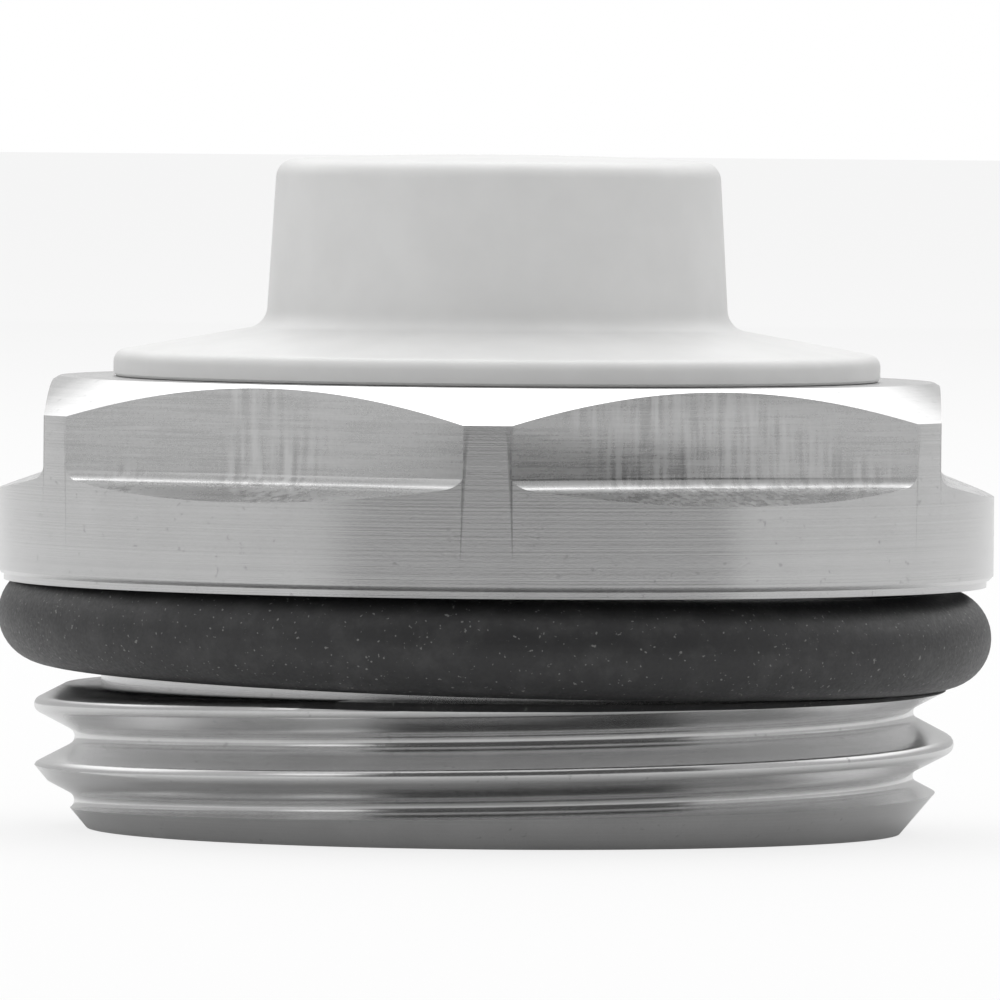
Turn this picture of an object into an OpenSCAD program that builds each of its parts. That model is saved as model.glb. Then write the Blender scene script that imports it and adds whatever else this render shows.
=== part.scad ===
// Radiator bleed plug with a hand-turned vent knob, a fibre-disc cartridge and a check valve.
// Millimetres. The origin is at the middle of the thread's end face, and +Z points out of the radiator.

/* [Body] */
// Length of the thread, from its end face to the neck
thread_l = 5.2; // [4.8:0.1:9]
// Height of the neck that holds the flange seal
neck_h = 4; // [3.8:0.1:6]
// Diameter of the flange, which is also the bar that the hexagon is milled from
flange_d = 36; // [35.4:0.1:42]
// Width of the seal's seat, from the flange's rim in to the neck
seat_w = 3.8; // [3.75:0.01:4.2]
// Thickness of the flange at its rim
flange_t = 3; // [2.4:0.1:6]
// Height of the lip under the flange's rim
lip_h = 0.25; // [0.1:0.05:0.4]
// Step from the rim's edge break in to the lip
lip_step = 0.1; // [0.05:0.05:0.2]
// Width of the lip's flat face
lip_w = 0.2; // [0.15:0.05:0.25]
// Depth of the seal recess at the neck, above the lip's face
recess_h = 1; // [0.9:0.1:1.6]
// Width and height of the recess's slanted edge inside the lip
recess_edge = 0.55; // [0.5:0.05:0.7]
// Small edge break on turned corners
edge = 0.15; // [0.05:0.05:0.3]
// Width of the casting pocket between the hub and the thread wall
pocket_w = 3; // [1:0.1:3.4]
// Depth of the casting pocket
pocket_h = 6; // [2:0.1:7]
// Wall between the pocket and the thread's root
pocket_wall = 2.6; // [2.4:0.1:3.4]

/* [Hexagon] */
// Size of the hexagon across its flats
hex_af = 32; // [31:0.1:33]
// Height of the hexagon above the flange's rim
hex_h = 4.1; // [3:0.1:7]
// Turn of the hexagon from the view axis, in degrees
hex_turn = -1; // [-30:0.5:30]
// Height of the milled ledge at the flat, above the flange's rim
ledge_h = 0.65; // [0.2:0.05:1.2]
// Radius of the milled fillet between flat and ledge
root_r = 0.45; // [0.2:0.05:0.8]
// Angle of the chamfer on top of the hexagon, in degrees
chamfer_angle = 30; // [15:1:40]
// Step from the flats in to the flat face on top of the hexagon
hex_top_step = 0.2; // [0:0.05:0.8]

/* [Thread] */
// Outside diameter of the pipe thread
thread_d = 33.249; // [33:0.001:33.5]
// Pitch of the pipe thread
thread_p = 2.309; // [2.2:0.001:2.4]
// Depth of the lead-in chamfer at the end face
lead_depth = 1.92; // [1.2:0.01:2.2]
// Height of the lead-in chamfer
lead_h = 2.3; // [0.6:0.1:3]
// Turn of the thread's start, in degrees
thread_turn = 32; // [0:1:359]

/* [Flange seal] */
// Section of the rubber ring under the flange
seal_section = 3.53; // [3:0.01:3.6]
// Clearance of the rubber ring on the neck
seal_gap = 0.22; // [0.1:0.01:0.22]
// Height of the ring's middle above the neck's foot
seal_z = 2.2; // [2.2:0.05:2.25]
// Tilt of the ring on its neck, in degrees
seal_tilt = 1.4; // [0:0.1:2]
// Direction of the ring's highest point, in degrees from +X
seal_high_side = 145; // [0:5:355]

/* [Knob] */
// Diameter of the knob's boss at its top
boss_d = 16; // [14.8:0.1:20]
// Widening of the boss on each side, from its top to its foot
boss_flare = 0.35; // [0:0.05:0.6]
// Height of the boss above the knob's skirt
boss_h = 6; // [5.4:0.1:9]
// Diameter of the knob's skirt
skirt_d = 27.7; // [26.6:0.1:31]
// Height of the skirt's rim
rim_h = 0.9; // [0.7:0.05:1.5]
// Slope of the skirt's top, in degrees
skirt_slope = 10; // [4:1:16]
// Rounding of the boss's top edge
boss_round = 0.7; // [0.3:0.1:1.2]
// Rounding of the skirt's upper edge
rim_round = 0.45; // [0.2:0.05:0.6]
// Fillet between the boss and the skirt
foot_round = 0.8; // [0.3:0.1:1.2]
// Rise of the crowned top at its middle
crown = 0.2; // [0.05:0.05:0.6]
// Width of the rim's face on the body
rim_w = 1.3; // [0.8:0.1:2]
// Depth of the hollow under the skirt
hollow_h = 0.55; // [0.3:0.05:0.65]
// Depth of the vent chamber round the stem
vent_h = 1.2; // [1:0.1:1.6]
// Width of the vent chamber round the stem's thread
vent_w = 0.65; // [0.4:0.05:1]

/* [Stem] */
// Outside diameter of the stem's fine thread
stem_d = 14; // [13.4:0.1:15]
// Pitch of the stem's fine thread, which is also the knob's lift in one turn
stem_p = 1; // [0.5:0.1:1.1]
// Size across the flats of the stem's head inside the knob
head_af = 11; // [10:0.1:12]
// Height of the stem's head above its collar
head_h = 4.6; // [3.6:0.1:5]
// Reach of the knob's clip outside the head's flats
clip_reach = 1.1; // [0.9:0.1:1.4]
// Bore of the vent chamber in the stem
chamber_d = 3.4; // [3:0.1:7]
// Diameter of the cross holes
cross_d = 0.7; // [0.4:0.05:0.8]
// Section of the rubber ring on the stem
stem_seal_section = 1.2; // [1:0.05:1.3]
// Running clearance between turning or sliding pieces
run_gap = 0.05; // [0.02:0.01:0.1]

/* [Cartridge] */
// Number of fibre discs
disc_count = 6; // [3:1:6]
// Thickness of one fibre disc
disc_t = 0.45; // [0.3:0.01:0.46]
// Clearance round the fibre discs
disc_gap = 0.4; // [0.1:0.05:0.6]
// Bore of the stem round the discs
cartridge_d = 10; // [9.8:0.1:10.6]
// Thickness of the spring washer on the discs
spring_washer_t = 0.2; // [0.1:0.05:0.25]
// Dished height of the spring washer
spring_washer_h = 0.35; // [0.3:0.01:0.4]
// Thickness of the perforated plate under the discs
plate_t = 0.5; // [0.3:0.05:0.6]
// Number of holes in the plate
plate_holes = 8; // [4:1:9]
// Diameter of the plate's holes
plate_hole_d = 1.4; // [0.8:0.1:1.6]
// Diameter of the circle that the plate's holes lie on
plate_hole_ring_d = 6.2; // [5.6:0.1:6.6]

/* [Check valve] */
// Bore of the chamber that the plunger slides in
check_d = 11; // [10.6:0.1:12]
// Diameter of the port through the seat
port_d = 5.2; // [4:0.1:6]
// Thickness of the wall that holds the seat
web_t = 1.2; // [0.8:0.1:1.3]
// Thickness of the plunger's head
plunger_t = 0.8; // [0.6:0.05:1]
// Diameter of the plunger's pin
pin_d = 2.4; // [1.6:0.1:3]
// Number of flutes in the plunger's edge
flute_count = 6; // [3:1:8]
// Radius of the plunger's flutes
flute_r = 1; // [0.6:0.1:1.1]
// Thickness of the plunger's rubber washer
check_seal_t = 0.5; // [0.3:0.05:0.6]
// Width of the plunger's rubber washer outside the port
seat_overlap = 1.6; // [1:0.1:2]
// Height of the spring while the knob is screwed down
spring_h = 1.7; // [1.6:0.05:1.9]
// Wire of the spring
spring_wire = 0.4; // [0.3:0.05:0.45]
// Clearance round the spring's widest turn
spring_gap = 1; // [0.6:0.1:1.1]
// Diameter of the spring's narrowest turn, at the middle of the wire
spring_top_d = 5.2; // [5:0.1:5.4]
// Number of turns of the spring
spring_turns = 3; // [2:0.5:3]
// Thickness of the gasket between stem and seat
gasket_t = 0.8; // [0.5:0.05:0.9]
// Bore of the gasket
gasket_bore_d = 8; // [6:0.1:9]

/* [Inlet] */
// Diameter of the inlet's mouth
mouth_d = 14.4; // [14:0.1:15]
// Height of the lowest ring above the end face
mouth_h = 0.6; // [0.4:0.05:0.7]
// Thickness of the retaining rings
ring_t = 0.45; // [0.3:0.05:0.5]
// Depth of the grooves that hold the retaining rings
groove = 0.45; // [0.3:0.05:0.5]
// Reach of the retaining rings into their bore
ring_reach = 1; // [0.6:0.1:1.2]
// Gap between the ends of a retaining ring
ring_gap = 2.4; // [1:0.1:3]
// Thickness of the strainer
strainer_t = 0.3; // [0.2:0.05:0.35]
// Spacing of the strainer's holes
strainer_pitch = 1.5; // [1.3:0.1:2]
// Diameter of the strainer's holes
strainer_hole_d = 0.9; // [0.6:0.1:1]
// Width of the strainer's solid rim
strainer_rim = 1.6; // [1.3:0.1:2.4]
// Thickness of the spring's seat plate
seat_plate_t = 0.5; // [0.3:0.05:0.55]
// Bore of the spring's seat plate
seat_plate_bore_d = 6.2; // [5:0.1:7]

/* [Hidden] */
$fn = 96;

// A gap that is only a seam between two pieces that lie on each other
seam = 0.02;
// Length by which a cutter reaches past what it cuts
past = 1;

// Heights of the body, from the thread's end face up
flange_z = thread_l + neck_h;
rim_z = flange_z + flange_t;
body_h = rim_z + hex_h;
lip_z = flange_z - lip_h;
neck_d = flange_d - 2 * seat_w;
thread_end_d = thread_d - 2 * lead_depth;

// Heights of the inlet and the check valve
inlet_ring_z = mouth_h;
strainer_z = inlet_ring_z + ring_t;
seat_plate_z = strainer_z + strainer_t;
shoulder_z = seat_plate_z + seat_plate_t;
plunger_z = shoulder_z + spring_h;
check_seal_z = plunger_z + plunger_t;
knob_turns = 1;
lift = stem_p * knob_turns;
web_z = check_seal_z + check_seal_t + lift + run_gap;
gasket_z = web_z + web_t;

// Heights of the stem and its cartridge
stem_z = gasket_z + gasket_t;
cartridge_ring_z = stem_z + ring_t;
plate_z = cartridge_ring_z + ring_t;
disc_z = plate_z + plate_t;
spring_washer_z = disc_z + disc_count * disc_t;
cartridge_top_z = spring_washer_z + spring_washer_h;
cross_z = cartridge_top_z + cross_d;
stem_seal_z = cross_z + cross_d + stem_seal_section / 2;
head_z = body_h + vent_h;
vent_hole_z = body_h + vent_h / 2;
bore_d = stem_d + 2 * run_gap;
head_corner_d = head_af / cos(30);
disc_d = cartridge_d - 2 * disc_gap;

// Heights of the knob
knob_z = body_h + seam;
skirt_r = skirt_d / 2;
boss_foot_r = boss_d / 2 + boss_flare;
skirt_z = knob_z + rim_h;
boss_z = skirt_z + (skirt_r - boss_foot_r) * tan(skirt_slope);
knob_top_z = boss_z + boss_h;
clip_z = head_z + head_h / 2;
clip_r = head_af / 2 + clip_reach;

// Steps of one turn of the pipe thread, the turns that run past its ends, and the standard shares of
// its pitch that give its depth and its rounding
thread_steps = 72;
spare_turns = 3;
thread_depth = 0.6403 * thread_p;
thread_round = 0.1373 * thread_p;
flank_angle = 27.5;
round_z = thread_round * cos(flank_angle);
round_r = thread_round * (1 - sin(flank_angle));

// Section of one ridge of the thread, as offsets from its crest
ridge = [
    [-round_z, -round_r],
    [0, 0],
    [round_z, -round_r],
    [thread_p / 2 - round_z, round_r - thread_depth],
    [thread_p / 2, -thread_depth],
    [thread_p / 2 + round_z, round_r - thread_depth]
];
ridge_n = len(ridge);
ridge_turns = ceil(thread_l / thread_p) + spare_turns;

// Surface points of the endless thread, one upright column of points for each step of the turn
function thread_points() = [
    for (i = [0 : thread_steps - 1], k = [0 : ridge_turns - 1], p = ridge)
        let (a = 360 * i / thread_steps, r = thread_d / 2 + p[1])
        [r * cos(a), r * sin(a), (k - spare_turns / 2 + i / thread_steps) * thread_p + p[0]]
];

// Screw thread as a solid rod that runs past both ends of what it is cut to
module thread_rod() {
    column = ridge_n * ridge_turns;
    wall = thread_steps * column;
    last = thread_steps - 1;
    foot = -spare_turns * thread_p;
    points = concat(thread_points(), [[0, 0, foot], [0, 0, foot + (ridge_turns + spare_turns) * thread_p]]);
    sides = [
        for (i = [0 : last - 1], j = [0 : column - 2])
            let (a = i * column + j, b = a + column)
            each [[a, b + 1, b], [a, a + 1, b + 1]]
    ];
    seam_sides = [
        for (j = [0 : column - ridge_n - 2])
            let (a = last * column + j, b = j + ridge_n)
            each [[a, b + 1, b], [a, a + 1, b + 1]]
    ];
    low_edge = concat(
        [for (i = [0 : last]) i * column],
        [for (j = [ridge_n : -1 : 1]) j]
    );
    high_edge = concat(
        [for (i = [0 : last]) (i + 1) * column - 1],
        [for (j = [1 : ridge_n]) wall - 1 - j]
    );
    rim_n = len(low_edge);
    low_fan = [for (i = [0 : rim_n - 1]) [low_edge[i], low_edge[(i + 1) % rim_n], wall]];
    high_fan = [for (i = [0 : rim_n - 1]) [high_edge[(i + 1) % rim_n], high_edge[i], wall + 1]];
    polyhedron(points = points, faces = concat(sides, seam_sides, low_fan, high_fan), convexity = 10);
}

// Ring with the pipe thread on it, cut to the lead-in chamfer and to the neck's foot
module thread_ring() {
    ring_r = thread_end_d / 2 - past;
    crest_r = thread_d / 2 + seam;
    intersection() {
        rotate([0, 0, thread_turn]) thread_rod();
        rotate_extrude()
            polygon([
                [ring_r, 0],
                [thread_end_d / 2, 0],
                [crest_r, lead_h],
                [crest_r, thread_l - 2 * edge],
                [crest_r - 2 * edge, thread_l],
                [ring_r, thread_l]
            ]);
    }
}

// Section of the turned blank: hub, thread core, neck, recessed flange and chamfered hexagon
module blank_section() {
    root_r_core = thread_d / 2 - thread_depth - edge;
    pocket_r = thread_d / 2 - thread_depth - pocket_wall;
    flange_r = flange_d / 2;
    lip_r = flange_r - edge - lip_step;
    top_r = hex_af / 2 - hex_top_step;
    polygon([
        [0, 0],
        [pocket_r - pocket_w, 0],
        [pocket_r - pocket_w, pocket_h],
        [pocket_r, pocket_h],
        [pocket_r, 0],
        [thread_end_d / 2 - edge, 0],
        [root_r_core - edge, lead_h / 2],
        [root_r_core, lead_h],
        [root_r_core, thread_l - seam],
        [neck_d / 2, thread_l - seam],
        [neck_d / 2, lip_z + recess_h],
        [lip_r - lip_w - recess_edge, lip_z + recess_edge],
        [lip_r - lip_w, lip_z],
        [lip_r, lip_z],
        [lip_r, flange_z],
        [flange_r - edge, flange_z],
        [flange_r, flange_z + edge],
        [flange_r, body_h - (flange_r - top_r) * tan(chamfer_angle)],
        [top_r, body_h],
        [0, body_h]
    ]);
}

// Direction from p to q, with length 1
function toward(p, q) = (q - p) / norm(q - p);

// Half of the angle at corner p between the lines to a and b
function half_angle(p, a, b) = acos(toward(p, a) * toward(p, b)) / 2;

// Points where a round of radius r at corner p meets the lines to a and b
function round_ends(p, a, b, r) = [for (q = [a, b]) p + toward(p, q) * r / tan(half_angle(p, a, b))];

// Direction from corner p into the angle between the lines to a and b
function inward(p, a, b) = toward([0, 0], toward(p, a) + toward(p, b));

// Middle of a round of radius r at corner p
function round_middle(p, a, b, r) = p + inward(p, a, b) * r / sin(half_angle(p, a, b));

// Piece between corner p and its round of radius r, reaching past the corner
module corner_piece(p, a, b, r) {
    ends = round_ends(p, a, b, r);
    difference() {
        polygon([ends[0], p - inward(p, a, b) * past, ends[1]]);
        translate(round_middle(p, a, b, r)) circle(r = r);
    }
}

// Cutter for one flat of the hexagon, with its root fillet and its sloping ledge
module flat_cutter() {
    flat_x = hex_af / 2;
    out_x = flange_d / 2 + past;
    slope = ledge_h / (flange_d / 2 - flat_x);
    root = [flat_x, rim_z + ledge_h];
    ledge_end = [out_x, root[1] - slope * (out_x - flat_x)];
    flat_end = [flat_x, body_h + past];
    translate([0, flange_d / 2, 0])
        rotate([90, 0, 0])
            linear_extrude(height = flange_d)
                difference() {
                    polygon([root, ledge_end, [out_x, body_h + past], flat_end]);
                    corner_piece(root, flat_end, ledge_end, root_r);
                }
}

// Stepped bore of the body: stem thread, port, plunger chamber and inlet mouth
module body_bore() {
    rotate_extrude()
        polygon([
            [0, -past],
            [mouth_d / 2 + edge, -past],
            [mouth_d / 2 + edge, 0],
            [mouth_d / 2, edge],
            [mouth_d / 2, inlet_ring_z],
            [mouth_d / 2 + groove, inlet_ring_z],
            [mouth_d / 2 + groove, strainer_z],
            [mouth_d / 2, strainer_z],
            [mouth_d / 2, shoulder_z],
            [check_d / 2, shoulder_z],
            [check_d / 2, web_z],
            [port_d / 2, web_z],
            [port_d / 2, gasket_z],
            [bore_d / 2, gasket_z],
            [bore_d / 2, body_h - edge],
            [bore_d / 2 + edge, body_h],
            [bore_d / 2 + edge, body_h + past],
            [0, body_h + past]
        ]);
}

// Plated body, turned from one bar and milled to a hexagon
module valve_body() {
    color("silver") {
        difference() {
            rotate_extrude() blank_section();
            for (i = [0 : 5])
                rotate([0, 0, 60 * i + hex_turn]) flat_cutter();
            body_bore();
        }
        thread_ring();
    }
}

// Rubber ring that sits a little askew on the neck
module flange_seal() {
    color("black")
        translate([0, 0, thread_l + seal_z])
            rotate([0, 0, seal_high_side])
                rotate([0, -seal_tilt, 0])
                    rotate_extrude()
                        translate([neck_d / 2 + seal_gap + seal_section / 2, 0])
                            circle(d = seal_section);
}

// Outline of the knob with its rounded edges and its crowned top
module knob_outline() {
    rim_low = [skirt_r, knob_z];
    rim = [skirt_r, skirt_z];
    foot = [boss_foot_r, boss_z];
    top = [boss_d / 2, knob_top_z];
    middle = [0, knob_top_z + crown];
    half_w = boss_d / 2;
    dome_r = (half_w * half_w + crown * crown) / (2 * crown);
    difference() {
        union() {
            polygon(concat(
                [[0, knob_z], rim_low, rim],
                round_ends(foot, rim, top, foot_round),
                [top, [0, knob_top_z]]
            ));
            intersection() {
                translate(middle - [0, dome_r]) circle(r = dome_r, $fn = 720);
                translate([0, boss_z]) square([half_w, boss_h + past]);
            }
        }
        translate(round_middle(foot, rim, top, foot_round)) circle(r = foot_round);
        corner_piece(rim, rim_low, foot, rim_round);
        corner_piece(top, foot, middle, boss_round);
    }
}

// Moulded knob, hollow below, with a hexagon socket for the stem's head
module knob() {
    color("white")
        difference() {
            rotate_extrude() knob_outline();
            translate([0, 0, knob_z - past])
                cylinder(r = skirt_r - rim_w, h = hollow_h + past);
            translate([0, 0, knob_z - past])
                cylinder(r = stem_d / 2 + vent_w, h = vent_h + past);
            translate([0, 0, head_z - past])
                cylinder(d = head_corner_d + 2 * run_gap / cos(30), h = head_h + past + seam, $fn = 6);
            translate([0, 0, clip_z - seam])
                cylinder(r = clip_r + run_gap, h = ring_t + 2 * seam);
        }
}

// Hollow threaded stem that holds the cartridge and carries the knob
module vent_stem() {
    seal_groove_r = stem_d / 2 - stem_seal_section - seam;
    color("goldenrod")
        difference() {
            union() {
                translate([0, 0, stem_z + edge])
                    cylinder(d = stem_d, h = body_h - stem_z - edge);
                translate([0, 0, stem_z + seam])
                    cylinder(d1 = stem_d - 2 * edge, d2 = stem_d, h = edge - seam);
                translate([0, 0, body_h - seam])
                    cylinder(d = head_corner_d, h = vent_h + seam);
                translate([0, 0, head_z - seam])
                    cylinder(d = head_corner_d, h = head_h + seam, $fn = 6);
            }
            translate([0, 0, stem_z - past])
                cylinder(d = cartridge_d, h = cartridge_top_z - stem_z + past);
            translate([0, 0, cartridge_ring_z])
                cylinder(r = cartridge_d / 2 + groove, h = ring_t);
            translate([0, 0, cartridge_top_z - past])
                cylinder(d = chamber_d, h = head_z - cartridge_top_z + past);
            cross_holes(cross_z);
            cross_holes(vent_hole_z);
            translate([0, 0, stem_seal_z - stem_seal_section / 2 - seam])
                difference() {
                    cylinder(d = stem_d + past, h = stem_seal_section + 2 * seam);
                    cylinder(r = seal_groove_r, h = stem_seal_section + 2 * seam);
                }
            bypass_groove();
            translate([0, 0, clip_z - seam])
                difference() {
                    cylinder(d = head_corner_d + past, h = ring_t + 2 * seam);
                    cylinder(r = head_af / 2 - groove, h = ring_t + 2 * seam);
                }
        }
}

// Two crossed holes through the stem at one height
module cross_holes(z) {
    for (a = [0, 90])
        translate([0, 0, z])
            rotate([90, 0, a])
                cylinder(d = cross_d, h = 2 * stem_d, center = true, $fn = 24);
}

// Groove along the stem's thread that lets air past the discs while the knob is open
module bypass_groove() {
    translate([stem_d / 2 - groove, -cross_d / 2, stem_z - past])
        cube([past, cross_d, cross_z - stem_z + past]);
}

// Split ring that springs into a groove
module snap_ring(inner_r, outer_r) {
    difference() {
        cylinder(r = outer_r, h = ring_t);
        translate([0, 0, -past]) cylinder(r = inner_r, h = ring_t + 2 * past);
        translate([0, -ring_gap / 2, -past]) cube([outer_r + past, ring_gap, ring_t + 2 * past]);
    }
}

// Ring that holds the knob on the stem's head
module knob_clip() {
    color("gainsboro")
        translate([0, 0, clip_z])
            rotate([0, 0, 90])
                snap_ring(head_af / 2 - groove + seam, clip_r);
}

// Rubber ring in the stem's groove
module stem_seal() {
    color("dimgray")
        translate([0, 0, stem_seal_z])
            rotate_extrude()
                translate([(stem_d - stem_seal_section) / 2, 0])
                    circle(d = stem_seal_section, $fn = 48);
}

// One swelling disc of pressed fibre, counted from the inlet side
module fibre_disc(i) {
    color("peru")
        translate([0, 0, disc_z + (i - 1) * disc_t])
            cylinder(d = disc_d, h = disc_t);
}

// Dished washer that keeps the discs together
module spring_washer() {
    inner_r = chamber_d / 2 - edge;
    outer_r = disc_d / 2;
    rise = spring_washer_h - spring_washer_t;
    color("lightgray")
        translate([0, 0, spring_washer_z])
            rotate_extrude()
                polygon([
                    [inner_r, rise],
                    [outer_r, 0],
                    [outer_r, spring_washer_t],
                    [inner_r, spring_washer_h]
                ]);
}

// Perforated plate that carries the discs and rests on the plunger's pin
module cartridge_plate() {
    color("gold")
        difference() {
            translate([0, 0, plate_z]) cylinder(r = cartridge_d / 2 - run_gap, h = plate_t);
            for (i = [0 : plate_holes - 1])
                rotate([0, 0, 360 * i / plate_holes])
                    translate([plate_hole_ring_d / 2, 0, plate_z - past])
                        cylinder(d = plate_hole_d, h = plate_t + 2 * past, $fn = 24);
        }
}

// Ring that holds the cartridge in the stem
module cartridge_ring() {
    color("gainsboro")
        translate([0, 0, cartridge_ring_z])
            snap_ring(cartridge_d / 2 - ring_reach, cartridge_d / 2 + groove - seam);
}

// Flat gasket that the stem closes on while the knob is screwed down
module seat_gasket() {
    color("dimgray")
        translate([0, 0, gasket_z])
            difference() {
                cylinder(r = bore_d / 2 - run_gap, h = gasket_t);
                translate([0, 0, -past])
                    cylinder(d = gasket_bore_d, h = gasket_t + 2 * past);
            }
}

// Fluted plunger with the pin that the cartridge plate holds down
module check_plunger() {
    head_r = check_d / 2 - run_gap;
    color("khaki")
        difference() {
            union() {
                translate([0, 0, plunger_z]) cylinder(r = head_r, h = plunger_t);
                translate([0, 0, plunger_z]) cylinder(d = pin_d, h = plate_z - plunger_z - seam);
                translate([0, 0, plunger_z - edge])
                    cylinder(d = spring_top_d - 2 * spring_wire, h = 2 * edge);
            }
            for (i = [0 : flute_count - 1])
                rotate([0, 0, 360 * i / flute_count])
                    translate([head_r, 0, plunger_z - past])
                        cylinder(r = flute_r, h = plunger_t + 2 * past, $fn = 32);
        }
}

// Rubber washer on the plunger's head
module check_seal() {
    color("black")
        translate([0, 0, check_seal_z])
            difference() {
                cylinder(d = port_d + 2 * seat_overlap, h = check_seal_t);
                translate([0, 0, -past])
                    cylinder(d = pin_d + 2 * run_gap, h = check_seal_t + 2 * past);
            }
}

// Cone-shaped spring under the plunger, with turns that nest as it closes
module check_spring() {
    wire_r = spring_wire / 2;
    foot_r = check_d / 2 - spring_gap - wire_r;
    top_r = spring_top_d / 2;
    sides = 8;
    turn_steps = 20;
    steps = turn_steps * spring_turns;
    rise = spring_h - spring_wire - 2 * seam;
    foot_z = shoulder_z + wire_r + seam;
    points = [
        for (i = [0 : steps], j = [0 : sides - 1])
            let (
                t = i / steps,
                a = 360 * spring_turns * t,
                b = 360 * j / sides,
                r = foot_r + (top_r - foot_r) * t + wire_r * cos(b)
            )
            [r * cos(a), r * sin(a), foot_z + rise * t + wire_r * sin(b)]
    ];
    skin = [
        for (i = [0 : steps - 1], j = [0 : sides - 1])
            let (k = (j + 1) % sides, a = i * sides, b = a + sides)
            each [[a + j, b + k, a + k], [a + j, b + j, b + k]]
    ];
    ends = [
        [for (j = [0 : sides - 1]) j],
        [for (j = [sides - 1 : -1 : 0]) steps * sides + j]
    ];
    color("lightsteelblue")
        polyhedron(points = points, faces = concat(skin, ends), convexity = 6);
}

// Washer that the spring stands on
module spring_seat() {
    color("gold")
        translate([0, 0, seat_plate_z])
            difference() {
                cylinder(r = mouth_d / 2 - run_gap, h = seat_plate_t);
                translate([0, 0, -past])
                    cylinder(d = seat_plate_bore_d, h = seat_plate_t + 2 * past);
            }
}

// Perforated strainer across the inlet
module inlet_strainer() {
    reach = mouth_d / 2 - strainer_rim - strainer_hole_d / 2;
    rows = floor(reach / strainer_pitch) + 1;
    color("lightgray")
        difference() {
            translate([0, 0, strainer_z]) cylinder(r = mouth_d / 2 - run_gap, h = strainer_t);
            for (i = [-rows : rows], j = [-rows : rows]) {
                x = (i + j / 2) * strainer_pitch;
                y = j * strainer_pitch * sin(60);
                if (norm([x, y]) < reach)
                    translate([x, y, strainer_z - past])
                        cylinder(d = strainer_hole_d, h = strainer_t + 2 * past, $fn = 16);
            }
        }
}

// Ring that holds strainer and spring seat in the inlet
module inlet_ring() {
    color("gainsboro")
        translate([0, 0, inlet_ring_z])
            snap_ring(mouth_d / 2 - ring_reach, mouth_d / 2 + groove - seam);
}

valve_body();
flange_seal();
knob();
vent_stem();
knob_clip();
stem_seal();
fibre_disc(1);  // fibre_disc_1
fibre_disc(2);  // fibre_disc_2
fibre_disc(3);  // fibre_disc_3
fibre_disc(4);  // fibre_disc_4
fibre_disc(5);  // fibre_disc_5
fibre_disc(6);  // fibre_disc_6
spring_washer();
cartridge_plate();
cartridge_ring();
seat_gasket();
check_plunger();
check_seal();
check_spring();
spring_seat();
inlet_strainer();
inlet_ring();
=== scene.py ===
"""Radiator bleed valve: the plated plug, the rubber ring and the white knob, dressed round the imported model."""
import math

import bmesh
import bpy
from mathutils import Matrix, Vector

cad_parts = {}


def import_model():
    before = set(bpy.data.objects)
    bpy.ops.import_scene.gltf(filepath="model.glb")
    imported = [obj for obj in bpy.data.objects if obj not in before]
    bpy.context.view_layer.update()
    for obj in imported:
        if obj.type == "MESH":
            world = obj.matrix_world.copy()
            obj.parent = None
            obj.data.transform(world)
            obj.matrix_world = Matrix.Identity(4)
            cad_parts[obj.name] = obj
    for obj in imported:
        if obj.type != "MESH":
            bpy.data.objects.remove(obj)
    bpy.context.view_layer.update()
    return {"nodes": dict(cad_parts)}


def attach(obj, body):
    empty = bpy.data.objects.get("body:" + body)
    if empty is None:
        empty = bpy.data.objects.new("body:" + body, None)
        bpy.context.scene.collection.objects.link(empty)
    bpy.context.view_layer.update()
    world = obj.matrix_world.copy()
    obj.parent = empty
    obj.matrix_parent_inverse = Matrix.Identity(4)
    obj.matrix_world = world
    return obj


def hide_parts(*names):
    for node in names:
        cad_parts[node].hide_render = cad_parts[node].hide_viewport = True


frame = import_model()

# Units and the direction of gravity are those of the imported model: metres, +Z up
MM = 0.001
TURN_STEPS = 360

# Body, in millimetres
FLANGE_R = 18.0
EDGE = 0.15
THREAD_H = 5.2
LIP_Z = 8.95
FLANGE_Z = 9.2
RIM_Z = 12.2
BODY_H = 16.3
NECK_R = 14.2
FLAT_X = 16.0
LEDGE_H = 0.65
ROOT_R = 0.45
CHAMFER_ANGLE = 30
HEX_TURN = -1
HEX_TOP_R = 15.8

# Pipe thread, in millimetres and degrees
THREAD_R = 16.6245
PITCH = 2.309
THREAD_DEPTH = 0.6403 * PITCH
THREAD_ROUND = 0.1373 * PITCH
FLANK_ANGLE = 27.5
THREAD_TURN = 32
THREAD_STEPS = 180
END_R = THREAD_R - 1.92
LEAD_H = 2.3

# Inlet, seat and bore of the body, in millimetres
POCKET_R = THREAD_R - THREAD_DEPTH - 2.6
POCKET_W = 3.0
POCKET_H = 6.0
MOUTH_R = 7.2
GROOVE = 0.45
GROOVE_Z = (0.6, 1.05)
SHOULDER_Z = 1.85
CHECK_R = 5.5
WEB_Z = (5.9, 7.1)
PORT_R = 2.6
BORE_R = 7.05

# Rubber ring, in millimetres and degrees
SEAL_R = 1.765
SEAL_MIDDLE_R = NECK_R + 0.22 + SEAL_R
SEAL_Z = THREAD_H + 2.2
SEAL_TILT = 1.4
SEAL_HIGH_SIDE = 145

# Knob, in millimetres and degrees
KNOB_Z = BODY_H + 0.02
SKIRT_R = 13.85
RIM_H = 0.9
SKIRT_SLOPE = 10
BOSS_R = 8.0
BOSS_FOOT_R = 8.35
BOSS_H = 6.0
CROWN = 0.2
BOSS_ROUND = 0.7
RIM_ROUND = 0.45
FOOT_ROUND = 0.8
HOLLOW_R = 12.55
HOLLOW_H = 0.55
CHAMBER_R = 7.65
CHAMBER_H = 1.2
SOCKET_AF = 11.1
SOCKET_TOP = 22.12


# Modelling

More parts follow.
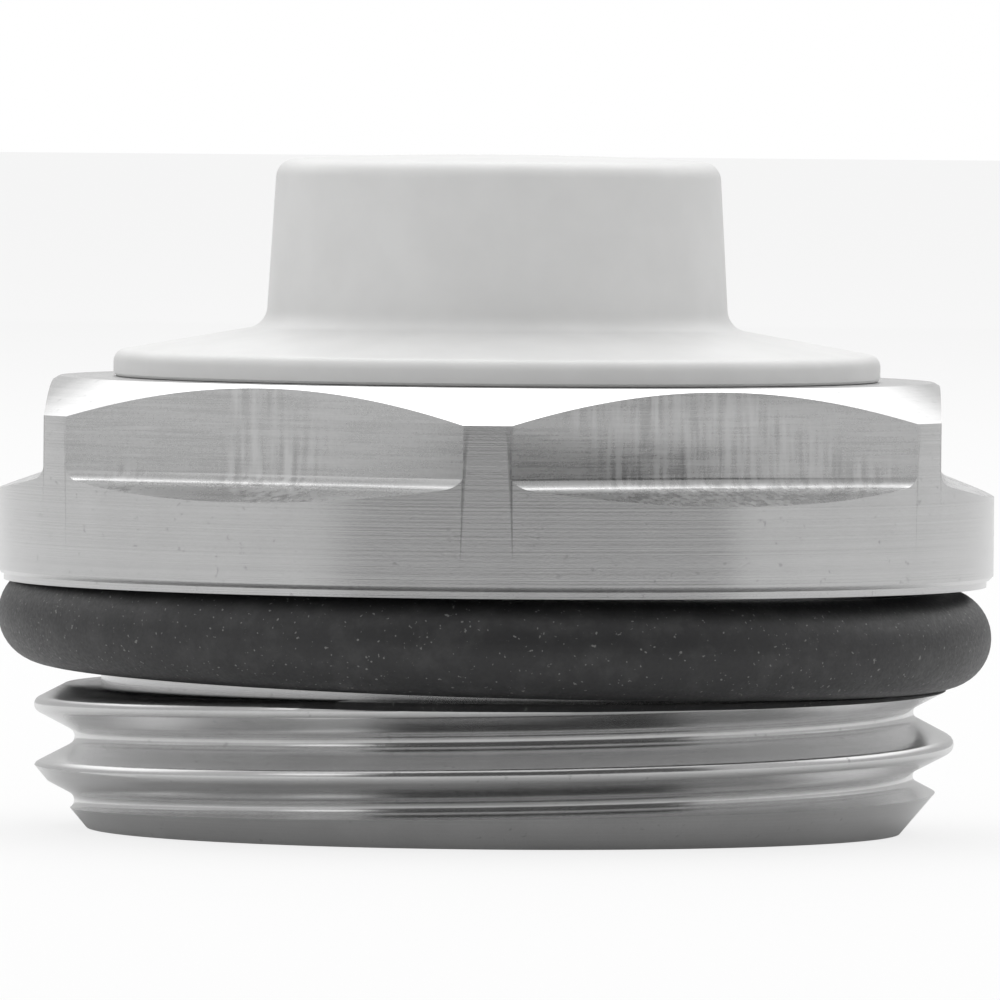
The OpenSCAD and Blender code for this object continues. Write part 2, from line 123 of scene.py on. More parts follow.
def start_alone():
    """Leaves edit mode and deselects everything, so that the next operator acts on its own piece alone."""
    if bpy.context.object and bpy.context.object.mode != "OBJECT":
        bpy.ops.object.mode_set(mode="OBJECT")
    bpy.ops.object.select_all(action="DESELECT")


def edit(piece, mode="VERT"):
    """Opens one piece in edit mode with nothing selected."""
    start_alone()
    piece.select_set(True)
    bpy.context.view_layer.objects.active = piece
    bpy.ops.object.mode_set(mode="EDIT")
    bpy.ops.mesh.select_mode(type=mode)
    bpy.ops.mesh.select_all(action="DESELECT")


def select_vertices(piece, test):
    """Selects the vertices of the piece in edit mode whose place passes the test."""
    bpy.ops.object.mode_set(mode="OBJECT")
    for v in piece.data.vertices:
        v.select = test(v.co)
    bpy.ops.object.mode_set(mode="EDIT")


def close_up(piece, merge=0.0005 * MM):
    """Merges doubled vertices, turns the faces outwards and goes back to object mode."""
    bpy.ops.mesh.select_all(action="SELECT")
    bpy.ops.mesh.remove_doubles(threshold=merge)
    bpy.ops.mesh.normals_make_consistent(inside=False)
    bpy.ops.object.mode_set(mode="OBJECT")
    return piece


def named(name):
    """Names the active object and its mesh."""
    piece = bpy.context.object
    piece.name = name
    piece.data.name = name
    return piece


def settle(piece):
    """Moves the place, turn and size of a piece into its mesh."""
    start_alone()
    piece.select_set(True)
    bpy.context.view_layer.objects.active = piece
    bpy.ops.object.transform_apply(location=True, rotation=True, scale=True)
    return piece


def lathe(name, outline, steps=TURN_STEPS):
    """Turns an outline of (radius, height) points, in millimetres, into a closed solid of revolution.

    A circle is extruded and resized from point to point. An outline that starts and ends on the axis
    is closed by its poles, and any other is a loop that is bridged back to its start."""
    start_alone()
    on_axis = outline[0][0] == 0
    rings = outline[1:-1] if on_axis else outline
    r, z = rings[0]
    bpy.ops.mesh.primitive_circle_add(vertices=steps, radius=r * MM, location=(0, 0, z * MM))
    piece = settle(named(name))
    edit(piece)
    bpy.ops.mesh.select_all(action="SELECT")
    if on_axis:
        bpy.ops.mesh.edge_face_add()
        if outline[0][1] != z:
            bpy.ops.mesh.poke()
            select_vertices(piece, lambda co: co.xy.length < 0.01 * MM)
            bpy.ops.transform.translate(value=(0, 0, (outline[0][1] - z) * MM))
            select_vertices(piece, lambda co: co.xy.length > 0.01 * MM)
    for next_r, next_z in rings[1:]:
        bpy.ops.mesh.extrude_edges_move(TRANSFORM_OT_translate={"value": (0, 0, (next_z - z) * MM)})
        bpy.ops.transform.resize(value=(next_r / r, next_r / r, 1), center_override=(0, 0, next_z * MM))
        r, z = next_r, next_z
    if on_axis:
        bpy.ops.mesh.extrude_edges_move(TRANSFORM_OT_translate={"value": (0, 0, (outline[-1][1] - z) * MM)})
        bpy.ops.mesh.merge(type="CENTER")
    else:
        first = rings[0]
        bpy.ops.mesh.extrude_edges_move(TRANSFORM_OT_translate={"value": (0, 0, (first[1] - z) * MM)})
        bpy.ops.transform.resize(value=(first[0] / r, first[0] / r, 1), center_override=(0, 0, first[1] * MM))
    return close_up(piece)


def arc(middle, radius, start, end, steps=8):
    """Points of an arc in the outline's plane, in millimetres, with angles in degrees from the radius axis."""
    angles = [math.radians(start + (end - start) * i / steps) for i in range(steps + 1)]
    return [(middle[0] + radius * math.cos(a), middle[1] + radius * math.sin(a)) for a in angles]


def rounded(p, a, b, radius, steps=8):
    """Points of the round of the given radius at corner p, between the lines to a and to b."""
    p, a, b = Vector(p), Vector(a), Vector(b)
    u, v = (a - p).normalized(), (b - p).normalized()
    half = u.angle(v) / 2
    middle = p + (u + v).normalized() * radius / math.sin(half)
    first, last = p + u * radius / math.tan(half), p + v * radius / math.tan(half)
    start, end = (math.degrees(math.atan2(*(q - middle).yx)) for q in (first, last))
    if end - start > 180:
        end -= 360
    if start - end > 180:
        end += 360
    return arc(middle, radius, start, end, steps)


def boolean(piece, cutter, operation):
    """Applies a boolean of one piece with another, and removes the other."""
    start_alone()
    bpy.context.view_layer.objects.active = piece
    piece.select_set(True)
    modifier = piece.modifiers.new("cut", "BOOLEAN")
    modifier.operation = operation
    modifier.solver = "EXACT"
    modifier.object = cutter
    bpy.ops.object.modifier_apply(modifier=modifier.name)
    bpy.data.objects.remove(cutter)
    return piece


def smooth(piece, angle=28):
    """Shades a piece smooth, with edges kept sharp above the angle."""
    start_alone()
    bpy.context.view_layer.objects.active = piece
    piece.select_set(True)
    bpy.ops.object.shade_smooth_by_angle(angle=math.radians(angle))
    return piece


def merged_copy(node, name, angle=28):
    """A smooth-shaded copy of a CAD node, with its loose triangles joined."""
    source = frame["nodes"][node]
    copy = source.copy()
    copy.data = source.data.copy()
    copy.name = name
    copy.data.name = name
    copy.parent = None
    for key in [k for k in copy.keys() if k.startswith("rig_")]:
        del copy[key]
    bpy.context.scene.collection.objects.link(copy)
    edit(copy)
    bpy.ops.mesh.select_all(action="SELECT")
    bpy.ops.mesh.remove_doubles(threshold=0.001 * MM)
    bpy.ops.object.mode_set(mode="OBJECT")
    return smooth(copy, angle)


def flat_cutter(index):
    """Cutter of one flat of the hexagon, with its sloping ledge and its root fillet."""
    start_alone()
    out_x = FLANGE_R + 1
    top = BODY_H + 1
    bpy.ops.mesh.primitive_cube_add(size=1)
    cutter = named("flat_cutter")
    cutter.scale = ((out_x - FLAT_X) * MM, 2 * FLANGE_R * MM, (top - RIM_Z - LEDGE_H) * MM)
    cutter.location = ((out_x + FLAT_X) / 2 * MM, 0, (top + RIM_Z + LEDGE_H) / 2 * MM)
    settle(cutter)
    edit(cutter)
    select_vertices(cutter, lambda co: co.x > (out_x - 0.1) * MM and co.z < (RIM_Z + LEDGE_H + 0.1) * MM)
    drop = LEDGE_H / (FLANGE_R - FLAT_X) * (out_x - FLAT_X)
    bpy.ops.transform.translate(value=(0, 0, -drop * MM))
    select_vertices(cutter, lambda co: co.x < (FLAT_X + 0.1) * MM and co.z < (RIM_Z + LEDGE_H + 0.1) * MM)
    bpy.ops.mesh.bevel(offset=ROOT_R * 0.72 * MM, segments=6, affect="EDGES")
    bpy.ops.object.mode_set(mode="OBJECT")
    cutter.rotation_euler = (0, 0, math.radians(60 * index + HEX_TURN))
    return settle(cutter)


def ridge_outline():
    """Outline of one ridge of the thread, from root to root, in millimetres round its crest's height."""
    angle = math.radians(FLANK_ANGLE)
    radius = THREAD_ROUND
    reach = 90 - FLANK_ANGLE
    crest = arc((THREAD_R - radius, 0), radius, -reach, reach, steps=6)
    root_r = THREAD_R - THREAD_DEPTH
    low = arc((root_r + radius, -PITCH / 2), radius, 180, 180 - reach, steps=3)
    high = arc((root_r + radius, PITCH / 2), radius, 180 + reach, 180, steps=3)
    return low + crest + high


def thread_ring():
    """The pipe thread: one ridge drawn point by point, screwed up the axis, and cut to its lead-in."""
    outline = ridge_outline()
    start_alone()
    turns = 5
    foot = -1.5 * PITCH
    bpy.ops.mesh.primitive_plane_add(size=2 * MM)
    rod = settle(named("thread_rod"))
    edit(rod)
    first = outline[0]
    rod_start = Vector((first[0] * MM, 0, (first[1] + foot) * MM))
    select_vertices(rod, lambda co: not (co.x < 0 and co.y < 0))
    bpy.ops.mesh.delete(type="VERT")
    bpy.ops.mesh.select_all(action="SELECT")
    corner = Vector((-MM, -MM, 0))
    bpy.ops.transform.translate(value=rod_start - corner)
    for (r_a, z_a), (r_b, z_b) in zip(outline, outline[1:]):
        bpy.ops.mesh.extrude_vertices_move(
            TRANSFORM_OT_translate={"value": ((r_b - r_a) * MM, 0, (z_b - z_a) * MM)})
    bpy.ops.object.mode_set(mode="OBJECT")
    screw = rod.modifiers.new("screw", "SCREW")
    screw.angle = 2 * math.pi
    screw.screw_offset = PITCH * MM
    screw.iterations = turns
    screw.steps = THREAD_STEPS
    screw.render_steps = THREAD_STEPS
    screw.use_merge_vertices = True
    screw.merge_threshold = 0.001 * MM
    bpy.ops.object.modifier_apply(modifier=screw.name)
    edit(rod)
    bpy.ops.mesh.select_all(action="SELECT")
    bpy.ops.mesh.remove_doubles(threshold=0.002 * MM)
    for z, side in ((-0.6, -1), (THREAD_H + 0.6, 1)):
        bpy.ops.mesh.select_all(action="SELECT")
        bpy.ops.mesh.bisect(plane_co=(0, 0, z * MM), plane_no=(0, 0, side), use_fill=True, clear_outer=True,
                            threshold=0.0001 * MM)
    close_up(rod)
    rod.rotation_euler = (0, 0, math.radians(THREAD_TURN))
    settle(rod)
    crest_r = THREAD_R + 0.02
    envelope = lathe("thread_envelope", [
        (13.6, 0), (END_R, 0), (crest_r, LEAD_H), (crest_r, THREAD_H - 2 * EDGE),
        (crest_r - 2 * EDGE, THREAD_H), (13.6, THREAD_H)])
    return boolean(envelope, rod, "INTERSECT")


def plated_body():
    """The turned, threaded and milled body in one piece."""
    root_r = THREAD_R - THREAD_DEPTH - EDGE
    rim_top = BODY_H - (FLANGE_R - HEX_TOP_R) * math.tan(math.radians(CHAMFER_ANGLE))
    body = lathe("plated_body", [
        (POCKET_R, 0), (END_R - EDGE, 0), (root_r - EDGE, LEAD_H / 2), (root_r, LEAD_H),
        (root_r, THREAD_H - 0.02), (NECK_R, THREAD_H - 0.02), (NECK_R, LIP_Z + 1),
        (17.0, LIP_Z + 0.55), (17.55, LIP_Z), (17.75, LIP_Z), (17.75, FLANGE_Z),
        (FLANGE_R - EDGE, FLANGE_Z), (FLANGE_R, FLANGE_Z + EDGE), (FLANGE_R, rim_top), (HEX_TOP_R, BODY_H),
        (BORE_R + EDGE, BODY_H), (BORE_R, BODY_H - EDGE), (BORE_R, WEB_Z[1]), (PORT_R, WEB_Z[1]),
        (PORT_R, WEB_Z[0]), (CHECK_R, WEB_Z[0]), (CHECK_R, SHOULDER_Z), (MOUTH_R, SHOULDER_Z),
        (MOUTH_R, GROOVE_Z[1]), (MOUTH_R + GROOVE, GROOVE_Z[1]), (MOUTH_R + GROOVE, GROOVE_Z[0]),
        (MOUTH_R, GROOVE_Z[0]), (MOUTH_R, EDGE), (MOUTH_R + EDGE, 0), (POCKET_R - POCKET_W, 0),
        (POCKET_R - POCKET_W, POCKET_H), (POCKET_R, POCKET_H)])
    for index in range(6):
        boolean(body, flat_cutter(index), "DIFFERENCE")
    boolean(body, thread_ring(), "UNION")
    edit(body)
    close_up(body, merge=0.001 * MM)
    return smooth(body)


def rubber_ring():
    """The rubber ring under the flange, with its moulding line, a little askew on the neck."""
    start_alone()
    bpy.ops.mesh.primitive_torus_add(major_segments=TURN_STEPS, minor_segments=48,
                                     major_radius=SEAL_MIDDLE_R * MM, minor_radius=SEAL_R * MM)
    ring = named("rubber_ring")
    edit(ring)
    select_vertices(ring, lambda co: co.xy.length > (SEAL_MIDDLE_R + SEAL_R - 0.02) * MM)
    bpy.ops.mesh.bevel(offset=0.05 * MM, segments=2, affect="EDGES")
    bpy.ops.object.mode_set(mode="OBJECT")
    ring.rotation_mode = "ZYX"
    ring.rotation_euler = (0, -math.radians(SEAL_TILT), math.radians(SEAL_HIGH_SIDE))
    ring.rotation_mode = "XYZ"
    ring.location = (0, 0, SEAL_Z * MM)
    settle(ring)
    return smooth(ring, 60)


def knob_outline():
    """Outline of the knob: crowned top, straight boss, sloping skirt and the hollow below."""
    skirt_z = KNOB_Z + RIM_H
    boss_z = skirt_z + (SKIRT_R - BOSS_FOOT_R) * math.tan(math.radians(SKIRT_SLOPE))
    top_z = boss_z + BOSS_H
    rim_low, rim = (SKIRT_R, KNOB_Z), (SKIRT_R, skirt_z)
    foot, top = (BOSS_FOOT_R, boss_z), (BOSS_R, top_z)
    crown_steps = 6
    dome_r = (BOSS_R ** 2 + CROWN ** 2) / (2 * CROWN)
    flat_r = BOSS_R - BOSS_ROUND
    crown = []
    for i in range(crown_steps):
        r = flat_r * (1 - i / crown_steps)
        crown.append((r, top_z + CROWN - dome_r + math.sqrt(dome_r ** 2 - r ** 2)))
    crown_edge = crown[0]
    edge_round = rounded(top, foot, (0, crown_edge[1] + 0.05), BOSS_ROUND, 10)
    return (
        [(CHAMBER_R, KNOB_Z + CHAMBER_H), (CHAMBER_R, KNOB_Z + HOLLOW_H), (HOLLOW_R, KNOB_Z + HOLLOW_H),
         (HOLLOW_R, KNOB_Z), (SKIRT_R - 0.1, KNOB_Z), (SKIRT_R, KNOB_Z + 0.1)]
        + rounded(rim, rim_low, foot, RIM_ROUND)
        + rounded(foot, rim, top, FOOT_ROUND, 10)
        + edge_round + crown[1:]
    )


def white_knob():
    """The moulded knob, hollow below, with its hexagon socket."""
    outline = knob_outline()
    knob = lathe("white_knob", [(0, outline[0][1])] + outline + [(0, outline[-1][1] + 0.01)], 256)
    start_alone()
    corner_r = SOCKET_AF / 2 / math.cos(math.radians(30))
    low = KNOB_Z + CHAMBER_H - 0.5
    bpy.ops.mesh.primitive_cylinder_add(vertices=6, radius=corner_r * MM, depth=(SOCKET_TOP - low) * MM,
                                        location=(0, 0, (SOCKET_TOP + low) / 2 * MM))
    socket = named("socket_cutter")
    socket.rotation_euler = (0, 0, math.radians(30))
    settle(socket)
    boolean(knob, socket, "DIFFERENCE")
    return smooth(knob, 35)


# Materials

def new_material(name, base, roughness, metallic=0.0):
    """A material with a Principled shader, and its node tree."""
    material = bpy.data.materials.new(name)
    material.use_nodes = True
    tree = material.node_tree
    shader = tree.nodes["Principled BSDF"]
    shader.inputs["Base Color"].default_value = (*base, 1)
    shader.inputs["Roughness"].default_value = roughness
    shader.inputs["Metallic"].default_value = metallic
    return material, tree, shader


class Board:
    """Places nodes in a tree and links them."""

    def __init__(self, tree):
        self.tree = tree

    def node(self, kind, inputs=None, **settings):
        node = self.tree.nodes.new(kind)
        for key, value in settings.items():
            setattr(node, key, value)
        for key, value in (inputs or {}).items():
            if isinstance(value, bpy.types.NodeSocket):
                self.tree.links.new(value, node.inputs[key])
            else:
                node.inputs[key].default_value = value
        return node

    def math(self, operation, a, b=0.0, clamp=False):
        return self.node("ShaderNodeMath", {0: a, 1: b}, operation=operation, use_clamp=clamp).outputs[0]

    def range(self, value, low, high, to_low=0.0, to_high=1.0, smooth=True):
        kind = "SMOOTHSTEP" if smooth else "LINEAR"
        return self.node("ShaderNodeMapRange", {"Value": value, "From Min": low, "From Max": high,
                                                "To Min": to_low, "To Max": to_high},
                         interpolation_type=kind).outputs["Result"]

    def noise(self, vector, scale, detail=2.0, roughness=0.5):
        return self.node("ShaderNodeTexNoise", {"Vector": vector, "Scale": scale, "Detail": detail,
                                                "Roughness": roughness}).outputs["Fac"]

    def mix(self, factor, a, b):
        return self.node("ShaderNodeMix", {0: factor, 6: a, 7: b}, data_type="RGBA").outputs[2]

    def link(self, output, socket):
        self.tree.links.new(output, socket)


def place(board):
    """Object coordinates in millimetres, and their parts x, y and z."""
    coordinates = board.node("ShaderNodeTexCoord").outputs["Object"]
    scaled = board.node("ShaderNodeVectorMath", {0: coordinates, "Scale": 1 / MM}, operation="SCALE").outputs[0]
    parts = board.node("ShaderNodeSeparateXYZ", {0: scaled})
    return scaled, parts.outputs


def group(name, inputs, outputs):
    """A new shader node group with named float inputs and outputs, and a board to build it on."""
    tree = bpy.data.node_groups.new(name, "ShaderNodeTree")
    for key, value in inputs.items():
        socket = tree.interface.new_socket(key, in_out="INPUT", socket_type="NodeSocketFloat")
        socket.default_value = value
    for key in outputs:
        tree.interface.new_socket(key, in_out="OUTPUT", socket_type="NodeSocketFloat")
    board = Board(tree)
    return tree, board, board.node("NodeGroupInput").outputs, board.node("NodeGroupOutput").inputs


def turning_marks():
    """Group: fine rings left by the turning tool, as a height and a tone round 0.5."""
    tree, board, given, out = group("turning_marks", {"Spacing": 0.12, "Waviness": 0.4}, ["Height", "Tone"])
    _, (x, y, z) = place(board)
    r = board.math("SQRT", board.math("ADD", board.math("MULTIPLY", x, x), board.math("MULTIPLY", y, y)))
    turn = board.math("ARCTAN2", y, x)
    along = board.math("ADD", r, z)
    across = board.math("SUBTRACT", z, r)
    ring = board.node("ShaderNodeCombineXYZ", {0: board.math("DIVIDE", along, given["Spacing"]),
                                               1: board.math("DIVIDE", across, given["Spacing"]),
                                               2: board.math("MULTIPLY", turn, given["Waviness"])}).outputs[0]
    fine = board.noise(ring, 1.0, 3.0, 0.6)
    wide = board.noise(ring, 0.22, 2.0, 0.5)
    board.link(fine, out["Height"])
    board.link(board.math("ADD", board.math("MULTIPLY", fine, 0.6), board.math("MULTIPLY", wide, 0.4)), out["Tone"])
    return tree


def plating_grain():
    """Group: the sandy grain and soft clouds of the plating, as a height, a tone and small pits."""
    tree, board, given, out = group("plating_grain", {"Grain": 9.0}, ["Height", "Tone", "Pits"])
    where, _ = place(board)
    grain = board.noise(where, given["Grain"], 3.0, 0.7)
    cloud = board.noise(where, 0.45, 3.0, 0.55)
    pits = board.range(board.noise(where, 3.1, 2.0, 0.6), 0.66, 0.74)
    board.link(grain, out["Height"])
    board.link(board.math("ADD", board.math("MULTIPLY", grain, 0.5), board.math("MULTIPLY", cloud, 0.5)), out["Tone"])
    board.link(pits, out["Pits"])
    return tree


def dust():
    """Group: specks and a thin film of dust, as a mask."""
    tree, board, given, out = group("dust", {"Amount": 0.5}, ["Mask", "Film"])
    where, _ = place(board)
    specks = board.range(board.noise(where, 6.5, 1.0, 0.5), 0.69, 0.76)
    film = board.range(board.noise(where, 0.8, 4.0, 0.65), 0.42, 0.75)
    board.link(board.math("MULTIPLY", specks, given["Amount"]), out["Mask"])
    board.link(board.math("MULTIPLY", film, given["Amount"]), out["Film"])
    return tree


GROUPS = {"turning": turning_marks(), "grain": plating_grain(), "dust": dust()}


def use(board, name, **values):
    """Places one of the shared groups in a material."""
    node = board.node("ShaderNodeGroup", node_tree=GROUPS[name])
    for key, value in values.items():
        node.inputs[key.replace("_", " ")].default_value = value
    return node.outputs


def turned_metal(name="turned_plating", base=0.60, spacing=0.11, depth=0.25):
    """Plated metal with turning rings round the axis."""
    material, tree, shader = new_material(name, (base,) * 3, 0.2, 1.0)
    board = Board(tree)
    rings = use(board, "turning", Spacing=spacing)
    grain = use(board, "grain")
    tone = board.math("ADD", board.math("MULTIPLY", rings["Tone"], 0.5), board.math("MULTIPLY", grain["Tone"], 0.5))
    light = board.range(tone, 0.3, 0.7, smooth=False)
    color = board.mix(light, (base * 0.86,) * 3 + (1,), (base * 1.1,) * 3 + (1,))
    color = board.mix(board.math("MULTIPLY", grain["Pits"], 0.25), color, (0.12, 0.12, 0.12, 1))
    board.link(color, shader.inputs["Base Color"])
    board.link(board.range(tone, 0.3, 0.7, 0.15, 0.27, smooth=False), shader.inputs["Roughness"])
    height = board.math("ADD", board.math("MULTIPLY", rings["Height"], 0.7), board.math("MULTIPLY", grain["Height"], 0.5))
    bump = board.node("ShaderNodeBump", {"Strength": depth, "Distance": 0.01 * MM, "Height": height})
    board.link(bump.outputs["Normal"], shader.inputs["Normal"])
    return material


def milled_metal(name="milled_plating", base=0.58):
    """Plated metal with level milling lines on the hexagon's flats."""
    material, tree, shader = new_material(name, (base,) * 3, 0.26, 1.0)
    board = Board(tree)
    where, (x, y, z) = place(board)
    grain = use(board, "grain", Grain=8.0)
    lines = board.node("ShaderNodeCombineXYZ", {0: board.math("MULTIPLY", x, 0.25), 1: board.math("MULTIPLY", y, 0.25),
                                                2: board.math("MULTIPLY", z, 9.0)}).outputs[0]
    streaks = board.noise(lines, 1.0, 3.0, 0.6)
    upright = board.node("ShaderNodeCombineXYZ", {0: board.math("MULTIPLY", x, 3.6),
                                                  1: board.math("MULTIPLY", y, 3.6),
                                                  2: board.math("MULTIPLY", z, 0.35)}).outputs[0]
    chatter = board.noise(upright, 1.0, 1.5, 0.5)
    patch = board.range(board.noise(where, 0.16, 1.0, 0.5), 0.46, 0.6)
    chatter = board.math("MULTIPLY", board.math("SUBTRACT", chatter, 0.5), patch)
    tone = board.math("ADD", board.math("ADD", board.math("MULTIPLY", streaks, 0.5),
                                        board.math("MULTIPLY", grain["Tone"], 0.5)), chatter)
    light = board.range(tone, 0.3, 0.7, smooth=False)
    color = board.mix(light, (base * 0.82,) * 3 + (1,), (base * 1.12,) * 3 + (1,))
    board.link(color, shader.inputs["Base Color"])
    board.link(board.range(tone, 0.3, 0.7, 0.22, 0.34, smooth=False), shader.inputs["Roughness"])
    height = board.math("ADD", board.math("MULTIPLY", streaks, 0.6),
                        board.math("ADD", board.math("MULTIPLY", grain["Height"], 0.5),
                                   board.math("MULTIPLY", chatter, 1.5)))
    bump = board.node("ShaderNodeBump", {"Strength": 0.3, "Distance": 0.012 * MM, "Height": height})
    board.link(bump.outputs["Normal"], shader.inputs["Normal"])
    return material


def white_plastic():
    """White moulded plastic with a fine satin texture."""
    base = (0.80, 0.80, 0.795)
    material, tree, shader = new_material("white_plastic", base, 0.42)
    board = Board(tree)
    where, _ = place(board)
    fine = board.noise(where, 14.0, 2.0, 0.5)
    soft = board.noise(where, 0.5, 3.0, 0.5)
    tone = board.range(soft, 0.35, 0.65, smooth=False)
    board.link(board.mix(tone, (0.785, 0.785, 0.78, 1), (0.815, 0.815, 0.81, 1)), shader.inputs["Base Color"])
    board.link(board.range(fine, 0.3, 0.7, 0.38, 0.48, smooth=False), shader.inputs["Roughness"])
    bump = board.node("ShaderNodeBump", {"Strength": 0.15, "Distance": 0.01 * MM, "Height": fine})
    board.link(bump.outputs["Normal"], shader.inputs["Normal"])
    return material


def black_rubber(name="black_rubber"):
    """Black rubber with faint dust."""
    material, tree, shader = new_material(name, (0.03, 0.03, 0.031), 0.45)
    board = Board(tree)
    where, _ = place(board)
    marks = use(board, "dust", Amount=0.5)
    fine = board.noise(where, 7.0, 3.0, 0.65)
    color = board.mix(marks["Film"], (0.022, 0.022, 0.023, 1), (0.06, 0.06, 0.06, 1))
    color = board.mix(marks["Mask"], color, (0.30, 0.30, 0.29, 1))
    board.link(color, shader.inputs["Base Color"])
    board.link(board.range(fine, 0.3, 0.7, 0.4, 0.6, smooth=False), shader.inputs["Roughness"])
    bump = board.node("ShaderNodeBump", {"Strength": 0.3, "Distance": 0.012 * MM, "Height": fine})
    board.link(bump.outputs["Normal"], shader.inputs["Normal"])
    return material


def pressed_fibre():
    """Pressed cellulose fibre."""
    material, tree, shader = new_material("pressed_fibre", (0.5, 0.36, 0.22), 0.85)
    board = Board(tree)
    where, _ = place(board)
    fibres = board.noise(where, 4.0, 4.0, 0.7)
    board.link(board.mix(fibres, (0.36, 0.25, 0.15, 1), (0.62, 0.48, 0.32, 1)), shader.inputs["Base Color"])
    bump = board.node("ShaderNodeBump", {"Strength": 0.4, "Distance": 0.02 * MM, "Height": fibres})
    board.link(bump.outputs["Normal"], shader.inputs["Normal"])
    return material


def tinted_metal(name, dark, pale, roughness):
    """Plain turned metal of the hidden pieces."""
    material, tree, shader = new_material(name, pale, roughness, 1.0)
    board = Board(tree)
    rings = use(board, "turning", Spacing=0.14)
    board.link(board.mix(rings["Tone"], (*dark, 1), (*pale, 1)), shader.inputs["Base Color"])
    board.link(board.range(rings["Tone"], 0.3, 0.7, roughness - 0.05, roughness + 0.08), shader.inputs["Roughness"])
    bump = board.node("ShaderNodeBump", {"Strength": 0.2, "Distance": 0.01 * MM, "Height": rings["Height"]})
    board.link(bump.outputs["Normal"], shader.inputs["Normal"])
    return material


def dress(piece, *materials):
    """Gives a piece its materials."""
    piece.data.materials.clear()
    for material in materials:
        piece.data.materials.append(material)


def paint_flats(body, milled_index):
    """Gives the milled flats and ledges of the hexagon their own material slot."""
    for face in body.data.polygons:
        n, c = face.normal, face.center
        turn = math.degrees(math.atan2(c.y, c.x)) - HEX_TURN
        away = math.radians((turn + 30) % 60 - 30)
        flat_distance = c.xy.length * math.cos(away)
        aligned = abs(math.degrees(math.atan2(n.y, n.x)) - HEX_TURN - 60 * round(turn / 60)) % 360
        if c.z > RIM_Z * MM and flat_distance > (FLAT_X - 0.01) * MM and n.xy.length > 0.2:
            if min(aligned, 360 - aligned) < 1.5:
                face.material_index = milled_index


# Stage

def camera():
    """The photograph's view: level with the thread, nearly square on."""
    data = bpy.data.cameras.new("camera")
    data.lens = 598
    data.sensor_width = 36
    data.clip_start = 0.05
    data.clip_end = 20
    view = bpy.data.objects.new("camera", data)
    bpy.context.scene.collection.objects.link(view)
    view.location = (0, -0.6, 0.0292)
    view.rotation_euler = (math.radians(90 - 1.65), math.radians(-0.5), 0)
    bpy.context.scene.camera = view


def floor():
    """The pale floor that keeps the part's shadow."""
    start_alone()
    bpy.ops.mesh.primitive_plane_add(size=6)
    plane = named("floor")
    material, tree, shader = new_material("pale_floor", (0.86, 0.86, 0.86), 0.6)
    board = Board(tree)
    out = tree.nodes["Material Output"]
    path = board.node("ShaderNodeLightPath").outputs
    white = board.node("ShaderNodeEmission", {"Color": (1, 1, 1, 1), "Strength": 1.0}).outputs[0]
    seen = board.math("MULTIPLY", path["Is Camera Ray"], 0.8)
    mixed = board.node("ShaderNodeMixShader", {0: seen, 1: shader.outputs[0], 2: white}).outputs[0]
    board.link(mixed, out.inputs["Surface"])
    dress(plane, material)


def world():
    """White where the camera or a mirror-like surface looks past the part, and an even pale light elsewhere."""
    scene_world = bpy.data.worlds.new("world")
    bpy.context.scene.world = scene_world
    scene_world.use_nodes = True
    board = Board(scene_world.node_tree)
    back = scene_world.node_tree.nodes["Background"]
    path = board.node("ShaderNodeLightPath").outputs
    seen = board.math("MAXIMUM", path["Is Camera Ray"],
                      board.math("MAXIMUM", path["Is Glossy Ray"], path["Is Transmission Ray"]))
    back.inputs["Color"].default_value = (1, 1, 1, 1)
    board.link(board.range(seen, 0, 1, 0.55, 1.0, smooth=False), back.inputs["Strength"])


def tent():
    """Grey screens round the part that only mirror-like surfaces show: dark in front, paler to the sides,
    bright behind."""
    start_alone()
    bpy.ops.mesh.primitive_cylinder_add(vertices=96, radius=1.0, depth=1.2, location=(0, 0, 0.6), end_fill_type="NOTHING")
    screen = settle(named("screens"))
    material = bpy.data.materials.new("screens")
    material.use_nodes = True
    tree = material.node_tree
    tree.nodes.clear()
    board = Board(tree)
    coordinates = board.node("ShaderNodeTexCoord").outputs["Object"]
    x, y, z = board.node("ShaderNodeSeparateXYZ", {0: coordinates}).outputs
    azimuth = board.math("MULTIPLY", board.math("ARCTAN2", x, board.math("MULTIPLY", y, -1.0)), 180 / math.pi)
    left = board.range(azimuth, -42, -30)
    right = board.range(azimuth, 57, 55)
    dark = board.math("MULTIPLY", left, right)
    sides = 0.62
    back = board.range(z, 0.25, 0.55, sides, 1.7)
    backness = board.range(y, -0.1, 0.5)
    wall = board.math("ADD", board.math("MULTIPLY", backness, board.math("SUBTRACT", back, sides)), sides)
    strength = board.math("ADD", board.math("MULTIPLY", dark, 0.11),
                          board.math("MULTIPLY", board.math("SUBTRACT", 1.0, dark), wall))
    glow = board.node("ShaderNodeEmission", {"Color": (1, 1, 1, 1), "Strength": strength}).outputs[0]
    output = board.node("ShaderNodeOutputMaterial")
    board.link(glow, output.inputs["Surface"])
    dress(screen, material)
    screen.visible_camera = False
    screen.visible_diffuse = False
    screen.visible_transmission = False
    screen.visible_shadow = False
    screen.visible_volume_scatter = False


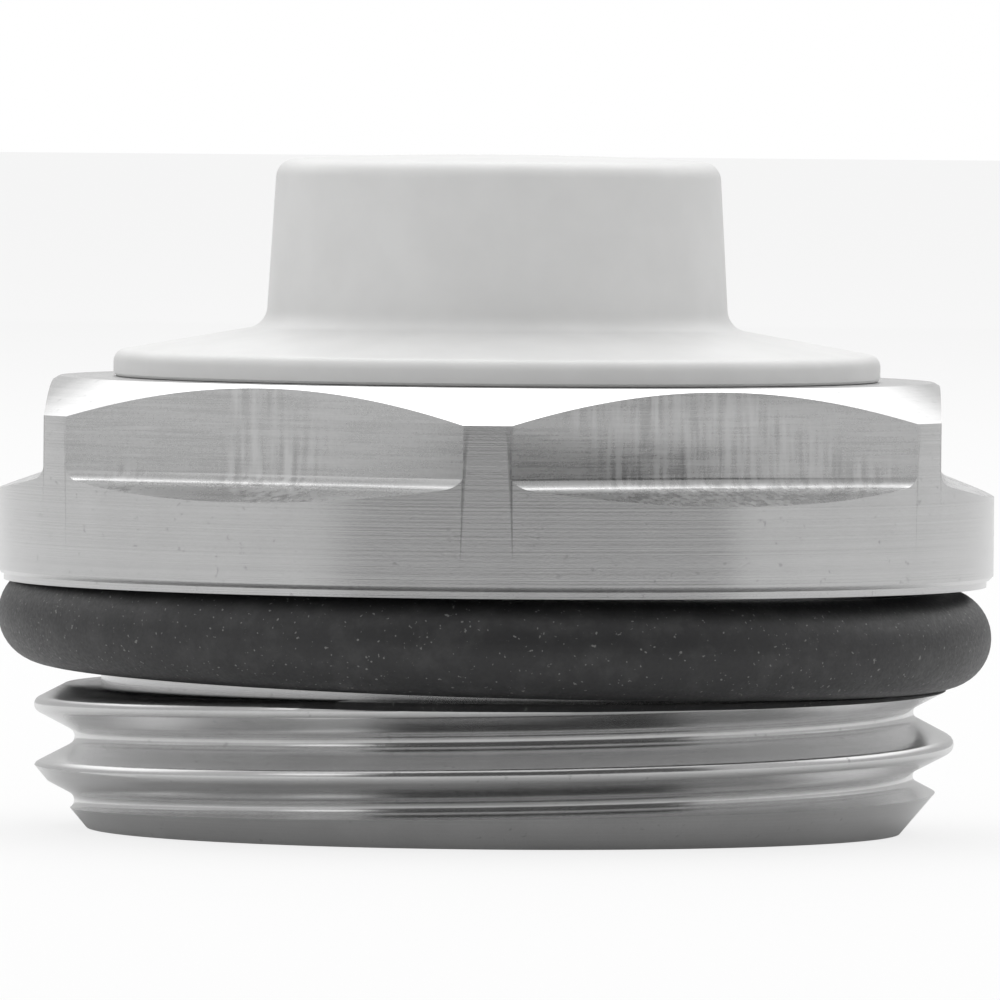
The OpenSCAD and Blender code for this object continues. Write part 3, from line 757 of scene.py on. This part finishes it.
def lamp(name, size, radiance, location, target=(0, 0, 0.012)):
    """A square soft box of an even radiance, turned to the part."""
    data = bpy.data.lights.new(name, "AREA")
    data.shape = "RECTANGLE"
    data.size, data.size_y = size
    data.energy = radiance * math.pi * size[0] * size[1]
    light = bpy.data.objects.new(name, data)
    bpy.context.scene.collection.objects.link(light)
    light.location = location
    light.rotation_euler = (Vector(location) - Vector(target)).to_track_quat("Z", "Y").to_euler()


def lights():
    """A broad soft box overhead, a little behind the part, and a weaker one to the left in front."""
    lamp("overhead", (0.9, 0.8), 1.7, (0, 0.25, 0.75))
    lamp("front_left", (0.4, 0.4), 0.8, (-0.7, -0.6, 0.5))


# The object

MATERIALS = {
    "turned": turned_metal(),
    "milled": milled_metal(),
    "white": white_plastic(),
    "rubber": black_rubber(),
    "fibre": pressed_fibre(),
    "brass": tinted_metal("turned_brass", (0.50, 0.36, 0.14), (0.78, 0.60, 0.30), 0.28),
    "steel": tinted_metal("spring_steel", (0.38, 0.38, 0.39), (0.62, 0.62, 0.63), 0.25),
}
NODE_MATERIALS = {
    "vent_stem": "brass", "cartridge_plate": "brass", "check_plunger": "brass", "spring_seat": "brass",
    "knob_clip": "steel", "spring_washer": "steel", "cartridge_ring": "steel", "check_spring": "steel",
    "inlet_strainer": "steel", "inlet_ring": "steel",
    "stem_seal": "rubber", "seat_gasket": "rubber", "check_seal": "rubber",
    **{f"fibre_disc_{i}": "fibre" for i in range(1, 7)},
}
for node, finish in NODE_MATERIALS.items():
    dress(frame["nodes"][node], MATERIALS[finish])

body = plated_body()
dress(body, MATERIALS["turned"], MATERIALS["milled"])
paint_flats(body, 1)
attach(body, "valve_body")
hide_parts("valve_body")

ring = rubber_ring()
dress(ring, MATERIALS["rubber"])
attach(ring, "valve_body")
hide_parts("flange_seal")

knob = white_knob()
dress(knob, MATERIALS["white"])
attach(knob, "knob")
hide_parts("knob")

bpy.context.scene.view_settings.view_transform = "Standard"
camera()
floor()
world()
tent()
lights()
